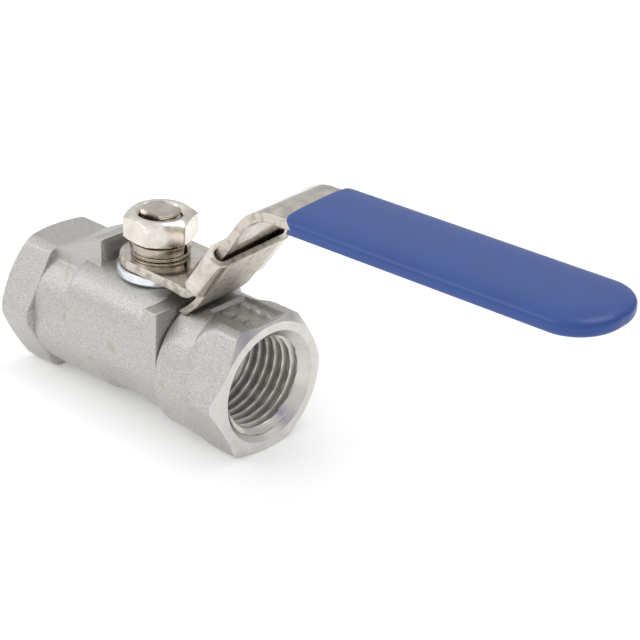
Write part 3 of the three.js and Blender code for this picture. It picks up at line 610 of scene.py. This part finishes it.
def strip_grid():
    """The lever's strip: its plan's half width at each place along the path, with rounded sheared edges."""
    edge = sheet_edge(0.2, SHEET)
    inset, depth = edge[None, :, 0], edge[None, :, 1]
    path, path_x, path_z, path_heading = fine_path()
    end = np.interp(LEVER_END, path_x, path)
    tail = TAIL_CENTRE - HALF_WIDTH * np.cos(np.linspace(0, math.pi / 2, 24))
    distance = np.concatenate([tail, np.arange(TAIL_CENTRE + 0.4, end, 0.4), [end]])[:, None]
    x, z, heading = (np.interp(distance, path, value) for value in (path_x, path_z, path_heading))
    at_tail = np.clip(TAIL_CENTRE - x, 0, None)
    at_tip = np.clip(x - (LEVER_END - TIP_ROUNDING), 0, TIP_ROUNDING)
    half = np.sqrt(np.clip(HALF_WIDTH**2 - at_tail**2, 0, None))
    half = half - TIP_ROUNDING + np.sqrt(np.clip(TIP_ROUNDING**2 - at_tip**2, 0, None))
    side = half * (1 - inset / HALF_WIDTH)
    place = x + at_tail * inset / HALF_WIDTH + depth * np.sin(heading)
    height = z - depth * np.cos(heading)
    plus = np.stack([place, side, height], axis=-1)
    minus = np.stack([place, -side, height], axis=-1)[:, ::-1]
    marks = np.ones(2 * len(edge), int)
    marks[[len(edge) - 1, -1]] = 0
    return (closed_ends(np.concatenate([plus, minus], axis=1)), False, True, marks[None, :])


def on_incline(along, across, depth):
    """Points at a distance up the incline, across it, and below its upper face."""
    along, across, depth = np.broadcast_arrays(along, across, depth)
    x = INCLINE_START + along * math.cos(INCLINE) + depth * math.sin(INCLINE)
    z = HUB_TOP + along * math.sin(INCLINE) - depth * math.cos(INCLINE)
    return np.stack([x, across, z], axis=-1)


def wrap_line():
    """Middle line of the wrapped plate's section, as (across, depth): flange, bend, back, bend and flange."""
    t = np.linspace(0, math.pi, 20)
    top, back = STOP_MIDDLE - STOP_BEND, STOP_MIDDLE + STOP_BEND
    flange = np.stack([np.linspace(-STOP_SEAM, -STOP_SIDE, 7)[:-1], np.full(6, top)], axis=-1)
    bend = np.stack([-STOP_SIDE - STOP_BEND * np.sin(t), STOP_MIDDLE - STOP_BEND * np.cos(t)], axis=-1)
    half_back = np.stack([np.linspace(-STOP_SIDE, 0, 8)[1:], np.full(7, back)], axis=-1)
    half_line = np.concatenate([flange, bend, half_back])
    return np.concatenate([half_line, half_line[-2::-1] * np.array([-1, 1])])


def wrap_grid():
    """The stop plate's wrap: the section's line thickened both ways, with rounded edges at both ends."""
    line = wrap_line()
    along = np.gradient(line, axis=0)
    along /= np.linalg.norm(along, axis=1, keepdims=True)
    normal = np.stack([-along[:, 1], along[:, 0]], axis=-1)
    rounding = 0.18
    from_tip = rounding * (1 - np.sin(np.linspace(0, math.pi / 2, 5)))
    middle = np.linspace(STOP_START + 0.4, STOP_END - rounding - 0.4, 12)
    places = np.concatenate([STOP_START + from_tip[::-1], middle, STOP_END - from_tip])
    from_edge = np.minimum(places - STOP_START, STOP_END - places)
    past = np.clip(rounding - from_edge, 0, None)
    half = STOP_SHEET / 2 - rounding + np.sqrt(np.clip(rounding**2 - past**2, 0, None))
    thickness = half[:, None, None] * normal
    outline = np.concatenate([line + thickness, (line - thickness)[:, ::-1]], axis=1)
    at_edge = (from_edge < rounding + 0.01).astype(int)
    marks = np.concatenate([[1], at_edge[:-1], [1, 1]])
    points = on_incline(places[:, None], outline[..., 0], outline[..., 1])
    cap_line = on_incline(places[[0, -1], None], line[:, 0], line[:, 1])
    caps = np.concatenate([cap_line, cap_line[:, ::-1]], axis=1)
    return (np.concatenate([caps[:1], points, caps[1:]]), False, True, marks[:, None])


def tongue_grid():
    """The wrap's back carried on downwards: a flat tongue that leans towards the rib and is cut level."""
    left, right = TONGUE_SIDES
    half = STOP_SHEET / 2
    section = rounded([[left, -half], [right, -half], [right, half], [left, half]], 0.14)
    across = section[:, 0]
    offset = 1.05 * section[:, 1]  # a little proud of the wrap's back, so that the two read as one sheet
    back = STOP_MIDDLE + STOP_BEND
    root = on_incline(STOP_END - 0.25, across, back - 0.8 * offset)[None]
    places = np.array([[STOP_END - 0.4], [STOP_START], [TONGUE_BEND + 0.35]])
    upper = on_incline(places, across, back - offset)
    bend = on_incline(TONGUE_BEND, 0, back)
    slope = INCLINE - TONGUE_LEAN
    reach = (bend[2] + offset * math.cos(slope) - TONGUE_FOOT) / math.sin(slope)
    share = np.array([[0.15], [0.4], [0.7], [1.0]])
    x = bend[0] - offset * math.sin(slope) - share * reach * math.cos(slope)
    z = bend[2] + offset * math.cos(slope) - share * reach * math.sin(slope)
    lower = np.stack(np.broadcast_arrays(x, across, z), axis=-1)
    at_side = (across < left + 0.2) | (across > right - 0.2)
    return (closed_ends(np.concatenate([root, upper, lower])), False, True, at_side[None, :].astype(int))


def lever_piece(sheet, sheared):
    """The stamped lever: hub, incline and grip from one strip."""
    points, *rest = strip_grid()
    make_piece("stamped_lever", [(skewed(points), *rest)], "lever_and_stem",
               [sheet, sheared], ["lever"], sharp=50)


def stop_piece(sheet, sheared):
    """The stop plate: wrapped round the incline, with its tongue."""
    grids = [(skewed(points), *rest) for points, *rest in (wrap_grid(), tongue_grid())]
    make_piece("stop_plate_sheet", grids, "lever_and_stem", [sheet, sheared],
               ["stop_plate"], sharp=50)


def sleeve_rows(place, half_width, half_height, start, end):
    """Sections of the sleeve at each place: superellipses, rounded in plan at the tip and at the mouth."""
    t = np.linspace(0, 2 * math.pi, 96, endpoint=False)[None, :]
    across = np.sign(np.cos(t)) * np.abs(np.cos(t)) ** (2 / SLEEVE_POWER)
    up = np.sign(np.sin(t)) * np.abs(np.sin(t)) ** (2 / SLEEVE_POWER)
    tip, mouth = SLEEVE_TIP_ROUNDING, SLEEVE_MOUTH_ROUNDING
    at_tip = np.clip(place - (end - tip), 0, tip)
    width = half_width - tip + np.sqrt(np.clip(tip**2 - at_tip**2, 0, None))
    x = place - at_tip * (1 - np.abs(across))
    y = across * width
    z = GRIP_TOP + (x - GRIP_START) * math.tan(GRIP_RISE) - SHEET / 2 + up * half_height
    out = np.clip(np.abs(y) - (half_width - mouth), 0, mouth)
    recess = mouth - np.sqrt(np.clip(mouth**2 - out**2, 0, None))
    x = x + recess * (1 - smoothstep(place, start, start + 9))
    return np.stack(np.broadcast_arrays(x, y, z), axis=-1)


def sleeve_piece(vinyl):
    """Dip-moulded sleeve: a closed tube over the grip, with a rounded mouth and a round tip."""
    start, end = sleeve_low[0], sleeve_high[0]
    half, thick, lip = -sleeve_low[1], SHEET / 2 + 0.75, 0.35
    gap, lip_inside = 0.08, 0.3
    inner_half, inner_thick = HALF_WIDTH + gap, SHEET / 2 + gap
    quarter = np.linspace(0, math.pi / 2, 7)[:, None]
    tip_turn = np.linspace(0, math.pi / 2, 26)[:, None]

    inside = sleeve_rows(np.linspace(end - 8, start + lip, 8)[:, None], inner_half, inner_thick, start, end)
    flare = lip_inside * (1 - np.cos(quarter))
    mouth_in = sleeve_rows(start + lip * (1 - np.sin(quarter)), inner_half + flare, inner_thick + flare,
                           start, end)
    inset = lip * (1 - np.sin(quarter))
    mouth_out = sleeve_rows(start + lip * (1 - np.cos(quarter)), half - inset, thick - inset, start, end)
    middle = np.linspace(start + lip + 0.3, end - SLEEVE_TIP_ROUNDING - 0.3, 60)[:, None]
    sides = sleeve_rows(middle, half, thick, start, end)
    nose = sleeve_rows(end - SLEEVE_TIP_ROUNDING * (1 - np.sin(tip_turn)), half, thick, start, end)
    closing = nose[-1:] * np.array([1, 0, 1])
    inner_end = np.broadcast_to(inside[:1].mean(axis=1, keepdims=True), inside[:1].shape)
    rows = np.concatenate([inner_end, inside, mouth_in, mouth_out, sides, nose, closing])
    make_piece("vinyl_sleeve", [(skewed(rows), False, True, 0)], "lever_and_stem", [vinyl],
               ["lever_sleeve"], sharp=60)


# ---- materials ---------------------------------------------------------------------------------------
def linear(hex_colour):
    """An sRGB hex colour as linear RGBA."""
    srgb = [int(hex_colour[k:k + 2], 16) / 255 for k in (1, 3, 5)]
    return [c / 12.92 if c <= 0.04045 else ((c + 0.055) / 1.055) ** 2.4 for c in srgb] + [1.0]


def add_node(tree, kind, inputs=None, **settings):
    """Adds a node, sets its properties, and links its inputs to outputs or fills them with values."""
    node = tree.nodes.new(kind)
    for key, value in settings.items():
        setattr(node, key, value)
    for socket, value in (inputs or {}).items():
        if isinstance(value, bpy.types.NodeSocket):
            tree.links.new(value, node.inputs[socket])
        else:
            node.inputs[socket].default_value = value
    return node


def new_material(name):
    """A material with its node tree and the Object coordinates that its patterns read."""
    material = bpy.data.materials.new(name)
    material.use_nodes = True
    tree = material.node_tree
    return material, tree, add_node(tree, "ShaderNodeTexCoord").outputs["Object"]


def finished(material, metallic, colour, gloss, relief):
    """The material with its colour, gloss and relief linked to the shader."""
    shader = material.node_tree.nodes["Principled BSDF"]
    shader.inputs["Metallic"].default_value = metallic
    material.node_tree.links.new(colour, shader.inputs["Base Color"])
    material.node_tree.links.new(gloss, shader.inputs["Roughness"])
    material.node_tree.links.new(relief.outputs["Normal"], shader.inputs["Normal"])
    return material


def per_metre(size_mm):
    """Texture scale whose features are about size_mm across."""
    return 1 / (size_mm * MM)


def cast_stainless():
    """Investment-cast stainless, shot-blasted: its sparkling grain breaks up reflections.

    It has a few stains. The real grain is about 0.1 mm; it is drawn 0.18 mm wide so that it shows.
    """
    material, tree, place = new_material("cast_stainless")
    grain = add_node(tree, "ShaderNodeTexNoise", {
        "Vector": place, "Scale": per_metre(0.18), "Detail": 2.0, "Roughness": 0.6}).outputs["Fac"]
    pits = add_node(tree, "ShaderNodeTexNoise", {
        "Vector": place, "Scale": per_metre(0.9), "Detail": 2.0}).outputs["Fac"]
    stain = add_node(tree, "ShaderNodeTexNoise", {
        "Vector": place, "Scale": per_metre(2.6), "Detail": 3.0}).outputs["Fac"]
    speck = add_node(tree, "ShaderNodeMapRange", {
        "Value": grain, "From Min": 0.36, "From Max": 0.64, "To Min": 0.0, "To Max": 1.0}).outputs["Result"]
    tone = add_node(tree, "ShaderNodeMix", {
        0: speck, 6: linear("#AFADAA"), 7: linear("#C9C7C4")}, data_type="RGBA").outputs[2]
    yellowed = add_node(tree, "ShaderNodeMapRange", {
        "Value": stain, "From Min": 0.64, "From Max": 0.74, "To Min": 0.0, "To Max": 0.45}).outputs["Result"]
    colour = add_node(tree, "ShaderNodeMix", {
        0: yellowed, 6: tone, 7: linear("#AB9A72")}, data_type="RGBA").outputs[2]
    gloss = add_node(tree, "ShaderNodeMapRange", {
        "Value": grain, "From Min": 0.3, "From Max": 0.7, "To Min": 0.52, "To Max": 0.42}).outputs["Result"]
    dents = add_node(tree, "ShaderNodeBump", {"Height": pits, "Distance": 0.03 * MM, "Strength": 0.5})
    relief = add_node(tree, "ShaderNodeBump", {
        "Height": grain, "Distance": 0.03 * MM, "Strength": 0.7, "Normal": dents.outputs["Normal"]})
    return finished(material, 1, colour, gloss, relief)


def turned_stainless():
    """Turned stainless: bright, with tool rings round the pipe axis, drawn 0.25 mm apart so as to show."""
    material, tree, place = new_material("turned_stainless")
    flat = add_node(tree, "ShaderNodeMapping", {"Vector": place, "Scale": (0.0, 1.0, 1.0)}).outputs["Vector"]
    rings = add_node(tree, "ShaderNodeTexWave", {
        "Vector": flat, "Scale": per_metre(0.25) / 20, "Distortion": 0.6},
        wave_type="RINGS", rings_direction="SPHERICAL").outputs["Fac"]
    cloud = add_node(tree, "ShaderNodeTexNoise", {"Vector": place, "Scale": per_metre(1.4)}).outputs["Fac"]
    colour = add_node(tree, "ShaderNodeMix", {
        0: cloud, 6: linear("#C4C0BA"), 7: linear("#E4E1DC")}, data_type="RGBA").outputs[2]
    gloss = add_node(tree, "ShaderNodeMapRange", {
        "Value": cloud, "From Min": 0.3, "From Max": 0.7, "To Min": 0.26, "To Max": 0.38}).outputs["Result"]
    relief = add_node(tree, "ShaderNodeBump", {"Height": rings, "Distance": 0.008 * MM, "Strength": 0.6})
    return finished(material, 1, colour, gloss, relief)


def wrought_stainless(name, dark, light, smooth, rough, grain_mm, depth_mm, stretch=(1.0, 1.0, 1.0)):
    """Wrought stainless: cloudy in tone, with scratches or grain of grain_mm that stretch can draw out."""
    material, tree, place = new_material(name)
    drawn = add_node(tree, "ShaderNodeMapping", {"Vector": place, "Scale": stretch}).outputs["Vector"]
    grain = add_node(tree, "ShaderNodeTexNoise", {
        "Vector": drawn, "Scale": per_metre(grain_mm), "Detail": 5.0, "Roughness": 0.65}).outputs["Fac"]
    cloud = add_node(tree, "ShaderNodeTexNoise", {"Vector": place, "Scale": per_metre(1.8)}).outputs["Fac"]
    share = add_node(tree, "ShaderNodeMapRange", {
        "Value": cloud, "From Min": 0.35, "From Max": 0.65, "To Min": 0.0, "To Max": 1.0}).outputs["Result"]
    colour = add_node(tree, "ShaderNodeMix", {
        0: share, 6: linear(dark), 7: linear(light)}, data_type="RGBA").outputs[2]
    gloss = add_node(tree, "ShaderNodeMapRange", {
        "Value": grain, "From Min": 0.3, "From Max": 0.7, "To Min": smooth, "To Max": rough,
    }).outputs["Result"]
    relief = add_node(tree, "ShaderNodeBump", {"Height": grain, "Distance": depth_mm * MM, "Strength": 0.6})
    return finished(material, 1, colour, gloss, relief)


def sheared_edge():
    """Sheared edge of the sheet, tumbled: sandy and dull, with brown spots where the shear tore the steel."""
    material, tree, place = new_material("sheared_edge")
    torn = add_node(tree, "ShaderNodeTexNoise", {
        "Vector": place, "Scale": per_metre(0.9), "Detail": 3.0}).outputs["Fac"]
    grain = add_node(tree, "ShaderNodeTexNoise", {"Vector": place, "Scale": per_metre(0.25)}).outputs["Fac"]
    spot = add_node(tree, "ShaderNodeMapRange", {
        "Value": torn, "From Min": 0.5, "From Max": 0.68, "To Min": 0.0, "To Max": 0.7}).outputs["Result"]
    colour = add_node(tree, "ShaderNodeMix", {
        0: spot, 6: linear("#CFC8BE"), 7: linear("#9C9184")}, data_type="RGBA").outputs[2]
    gloss = add_node(tree, "ShaderNodeMapRange", {
        "Value": grain, "From Min": 0.3, "From Max": 0.7, "To Min": 0.4, "To Max": 0.6}).outputs["Result"]
    relief = add_node(tree, "ShaderNodeBump", {"Height": grain, "Distance": 0.04 * MM, "Strength": 0.8})
    return finished(material, 1, colour, gloss, relief)


def dipped_vinyl():
    """Dip-moulded blue PVC: semi-gloss, with a faint orange-peel skin and small marks from handling."""
    material, tree, place = new_material("dipped_vinyl")
    peel = add_node(tree, "ShaderNodeTexNoise", {
        "Vector": place, "Scale": per_metre(1.0), "Detail": 2.0}).outputs["Fac"]
    marks = add_node(tree, "ShaderNodeTexNoise", {
        "Vector": place, "Scale": per_metre(4.0), "Detail": 6.0}).outputs["Fac"]
    colour = add_node(tree, "ShaderNodeMix", {
        0: marks, 6: linear("#1A3C80"), 7: linear("#264C94")}, data_type="RGBA").outputs[2]
    gloss = add_node(tree, "ShaderNodeMapRange", {
        "Value": marks, "From Min": 0.3, "From Max": 0.7, "To Min": 0.26, "To Max": 0.38}).outputs["Result"]
    relief = add_node(tree, "ShaderNodeBump", {"Height": peel, "Distance": 0.012 * MM, "Strength": 0.35})
    return finished(material, 0, colour, gloss, relief)


def moulded_ptfe():
    """PTFE, moulded and skived: waxy, dull and a little uneven in tone."""
    material, tree, place = new_material("moulded_ptfe")
    cloud = add_node(tree, "ShaderNodeTexNoise", {"Vector": place, "Scale": per_metre(1.2)}).outputs["Fac"]
    colour = add_node(tree, "ShaderNodeMix", {
        0: cloud, 6: linear("#E6E4DE"), 7: linear("#F1EFEA")}, data_type="RGBA").outputs[2]
    relief = add_node(tree, "ShaderNodeBump", {"Height": cloud, "Distance": 0.01 * MM, "Strength": 0.4})
    shader = tree.nodes["Principled BSDF"]
    shader.inputs["IOR"].default_value = 1.35
    shader.inputs["Roughness"].default_value = 0.5
    tree.links.new(colour, shader.inputs["Base Color"])
    tree.links.new(relief.outputs["Normal"], shader.inputs["Normal"])
    return material


def studio_floor():
    """Matt white sheet that the valve lies on; its faint glow keeps it white around the valve."""
    material = bpy.data.materials.new("studio_floor")
    material.use_nodes = True
    shader = material.node_tree.nodes["Principled BSDF"]
    shader.inputs["Base Color"].default_value = linear("#F6F6F6")
    shader.inputs["Roughness"].default_value = 0.9
    shader.inputs["Emission Color"].default_value = linear("#FFFFFF")
    shader.inputs["Emission Strength"].default_value = 0.2
    return material


# ---- assembly ------------------------------------------------------------------------------------------
cast = cast_stainless()
turned_steel = turned_stainless()
sheared = sheared_edge()
vinyl = dipped_vinyl()
ptfe = moulded_ptfe()
# Cold-rolled sheet, tumbled: nearly a mirror, with fine scratches along the lever.
sheet = wrought_stainless("tumbled_sheet", "#B9B1A8", "#D6D0C8", 0.1, 0.2, 0.35, 0.006, (0.35, 1.0, 1.0))
# Cold-formed nut: bright and smooth, with faint marks up and down its flats.
bright = wrought_stainless("cold_formed_nut", "#D2CBC2", "#E6E1DA", 0.1, 0.2, 0.5, 0.006, (1.0, 1.0, 0.3))
# Spring wire: warmer and duller, from its heat treatment.
spring = wrought_stainless("spring_steel", "#A79C90", "#C0B6AA", 0.18, 0.3, 0.3, 0.008)
# Turned bar: fine rings are below sight, so only its gloss varies.
shaft_steel = wrought_stainless("turned_shaft", "#B3ABA1", "#CFC9C1", 0.2, 0.34, 0.3, 0.008)
# Ground and lapped ball: a clean mirror.
polished = wrought_stainless("lapped_ball", "#DCDCDC", "#E6E6E6", 0.04, 0.08, 0.3, 0.001)
# Tapped thread: duller than the turned faces, as the tap tears the flanks.
tapped = wrought_stainless("tapped_thread", "#D6D1CA", "#EAE6E0", 0.36, 0.5, 0.3, 0.008)
# Turned and polished gland ring, slightly cool in tone.
gland_steel = wrought_stainless("polished_gland_steel", "#D4D8DE", "#E6E9ED", 0.14, 0.24, 0.3, 0.004)

body_piece(cast, turned_steel, tapped)
gland_piece(gland_steel)
flat_washer_piece(spring)
spring_washer_piece(spring)
nut_piece(bright)
stem_piece(shaft_steel)
insert_piece(turned_steel)
lever_piece(sheet, sheared)
stop_piece(sheet, sheared)
sleeve_piece(vinyl)


def cover(node, material):
    """Gives a CAD node its material."""
    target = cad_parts[node]
    target.data.materials.clear()
    target.data.materials.append(material)


cover("ball", polished)
for node in ("seat_near", "seat_far", "retainer_seal", "thrust_washer", "packing_ring_1", "packing_ring_2",
             "packing_ring_3"):
    cover(node, ptfe)


# ---- studio ----------------------------------------------------------------------------------------------
def make_floor():
    """A flat sheet just under the hexagons."""
    size, level = 0.6, body_low[2] * MM  # both in metres
    mesh = bpy.data.meshes.new("floor_sheet")
    mesh.from_pydata([(-size, -size, level), (size, -size, level), (size, size, level), (-size, size, level)],
                     [], [(0, 1, 2, 3)])
    mesh.materials.append(studio_floor())
    floor = bpy.data.objects.new("floor_sheet", mesh)
    bpy.context.scene.collection.objects.link(floor)


def make_light(name, place, target, size, power):
    """A square soft box at a place, aimed at a target; both in metres."""
    light = bpy.data.lights.new(name, "AREA")
    light.shape = "SQUARE"
    light.size = size
    light.energy = power
    lamp = bpy.data.objects.new(name, light)
    lamp.location = place
    lamp.rotation_euler = (Vector(target) - Vector(place)).to_track_quat("-Z", "Y").to_euler()
    bpy.context.scene.collection.objects.link(lamp)


def make_camera():
    """A long lens, seen from the near port's side and from above."""
    camera = bpy.data.cameras.new("camera")
    camera.lens = 122.0
    camera.sensor_width = 36.0
    forward = Vector((-0.59756, 0.66664, -0.44555)).normalized()
    right = Vector((0.73227, 0.68009, 0.03544))
    right = (right - forward * right.dot(forward)).normalized()
    up = right.cross(forward)
    holder = bpy.data.objects.new("camera", camera)
    turn = Matrix((right, up, -forward)).transposed().to_4x4()
    holder.matrix_world = Matrix.Translation(Vector((0.17578, -0.16639, 0.12288))) @ turn
    bpy.context.scene.collection.objects.link(holder)
    bpy.context.scene.camera = holder


def make_world():
    """White surroundings that are brightest above and a little in front, and darker low down at the back."""
    world = bpy.data.worlds.new("studio")
    world.use_nodes = True
    tree = world.node_tree
    direction = add_node(tree, "ShaderNodeTexCoord").outputs["Generated"]
    towards = add_node(tree, "ShaderNodeVectorMath", {0: direction, 1: (-0.3, -0.45, 0.84)},
                       operation="DOT_PRODUCT").outputs["Value"]
    strength = add_node(tree, "ShaderNodeMapRange", {
        "Value": towards, "From Min": -1.0, "From Max": 1.0, "To Min": 0.3, "To Max": 1.05}).outputs["Result"]
    tree.links.new(strength, tree.nodes["Background"].inputs["Strength"])
    tree.nodes["Background"].inputs["Color"].default_value = linear("#FFFFFF")
    bpy.context.scene.world = world


make_floor()
make_light("key", (-0.3, -0.35, 0.4), (0.0, 0.0, 0.0), 0.35, 0.45)
make_light("fill", (0.1, 0.2, 0.6), (0.02, 0.0, 0.0), 0.35, 0.7)
make_camera()
make_world()
bpy.context.scene.view_settings.view_transform = "Standard"
